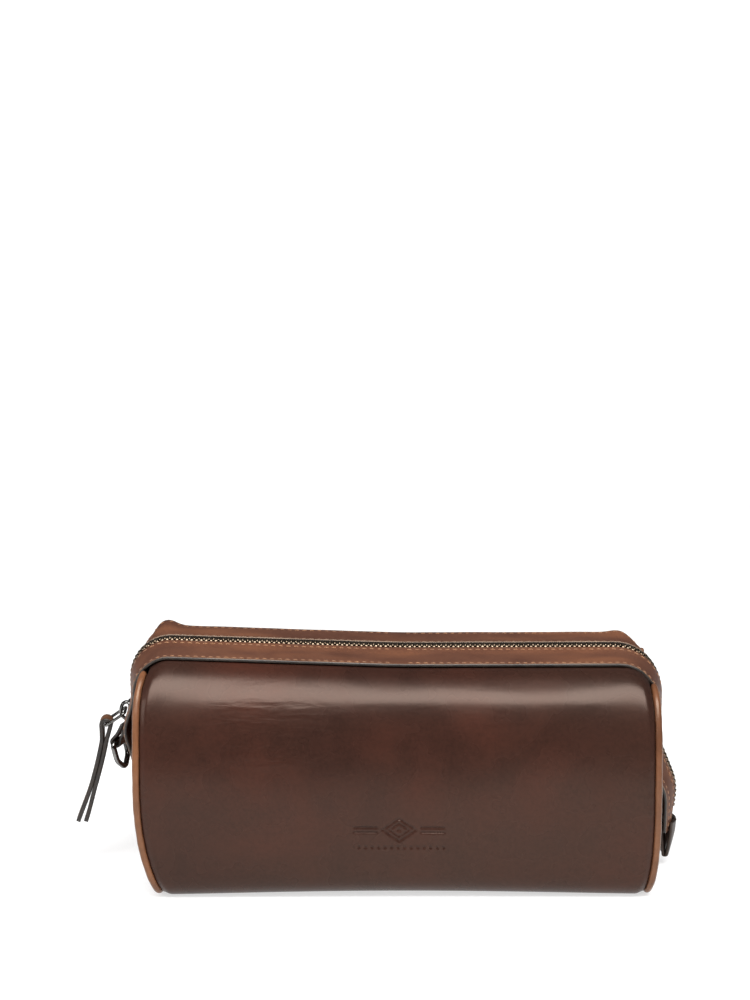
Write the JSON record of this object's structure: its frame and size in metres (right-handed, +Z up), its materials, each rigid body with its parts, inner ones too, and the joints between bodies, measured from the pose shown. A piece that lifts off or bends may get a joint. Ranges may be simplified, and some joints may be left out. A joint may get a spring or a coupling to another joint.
{
  "type": "leather wash bag",
  "caption": "Boxy leather wash bag with piped ends, a zip over the top and down both ends, a leather pull, a D-ring and a free zip tail.",
  "frame": {"origin": "centre of the flat base, on the surface it stands on", "axes": "+Z up, +X along the bag towards the free zip tail, -Y towards the front"},
  "size_m": [0.3051, 0.115, 0.1199],
  "materials": {
    "body_leather": "burnished dark brown, softly mottled",
    "strip_leather": "mid brown with black painted edges",
    "piping_leather": "tan brown, rolled over a cord",
    "pull_leather": "brown with dark painted edges",
    "dark_leather": "near-black",
    "zip_tape": "woven dark brown tape",
    "lining": "plain dark cloth",
    "board": "stiffening board",
    "zip_teeth": "antique nickel",
    "gunmetal": "polished gunmetal"
  },
  "bodies": {
    "bag": {"body_panel": "body_leather", "base_board": "board", "lining_body": "lining", "left_end_panel": "body_leather", "left_lining_end": "lining", "left_piping": "piping_leather", "right_end_panel": "body_leather", "right_lining_end": "lining", "right_piping": "piping_leather", "front_strip_left": "strip_leather", "front_strip_right": "strip_leather", "front_tape_left": "zip_tape", "front_tape_right": "zip_tape", "front_teeth_left": "zip_teeth", "front_teeth_right": "zip_teeth", "back_strip_left": "strip_leather", "back_strip_right": "strip_leather", "back_tape_left": "zip_tape", "back_tape_right": "zip_tape", "back_teeth_left": "zip_teeth", "back_teeth_right": "zip_teeth", "d_ring_loop": "strip_leather", "front_top_stop": "zip_teeth", "back_top_stop": "zip_teeth"},
    "front_flap": {"front_strip_top": "strip_leather", "front_tape_top": "zip_tape", "front_teeth_top": "zip_teeth"},
    "back_flap": {"back_strip_top": "strip_leather", "back_tape_top": "zip_tape", "back_teeth_top": "zip_teeth"},
    "slider": {"slider": "gunmetal"},
    "pull_link": {"pull_link": "gunmetal"},
    "leather_pull": {"leather_pull": "pull_leather"},
    "d_ring": {"d_ring": "gunmetal"},
    "tail": {"front_strip_tail": "strip_leather", "front_tape_tail": "zip_tape", "front_teeth_tail": "zip_teeth", "back_strip_tail": "strip_leather", "back_tape_tail": "zip_tape", "back_teeth_tail": "zip_teeth", "bottom_stop": "zip_teeth", "tail_tab": "dark_leather"}
  },
  "joints": [
    {"name": "mouth_front", "type": "hinge", "parent": "bag", "child": "front_flap", "pos_m": [0, -0.0311, 0.1144], "axis": [0.9999, 0, -0.0162], "range_deg": [0, 100]},
    {"name": "mouth_back", "type": "hinge", "parent": "bag", "child": "back_flap", "pos_m": [0, 0.0311, 0.1144], "axis": [-0.9999, 0, 0.0162], "range_deg": [0, 100]},
    {"name": "slider_travel", "type": "slide", "parent": "bag", "child": "slider", "axis": [0, 0, 1], "range_m": [0, 0.009], "deforming": ["front_teeth_left", "back_teeth_left"]},
    {"name": "pull_link_swing", "type": "hinge", "parent": "slider", "child": "pull_link", "pos_m": [-0.1373, 0, 0.0816], "axis": [0, 1, 0], "range_deg": [0, 95]},
    {"name": "pull_swing", "type": "hinge", "parent": "pull_link", "child": "leather_pull", "pos_m": [-0.14697, 0, 0.07483], "axis": [0, 1, 0], "range_deg": [0, 80]},
    {"name": "d_ring_swing", "type": "hinge", "parent": "bag", "child": "d_ring", "pos_m": [-0.1411, 0, 0.0656], "axis": [0.309, 0.9511, 0], "range_deg": [0, 28]},
    {"name": "tail_flex", "type": "hinge", "parent": "bag", "child": "tail", "pos_m": [0.1342, 0, 0.0697], "axis": [0, -1, 0], "range_deg": [-5, 55], "stiffness_Nm_per_rad": 0.02}
  ]
}
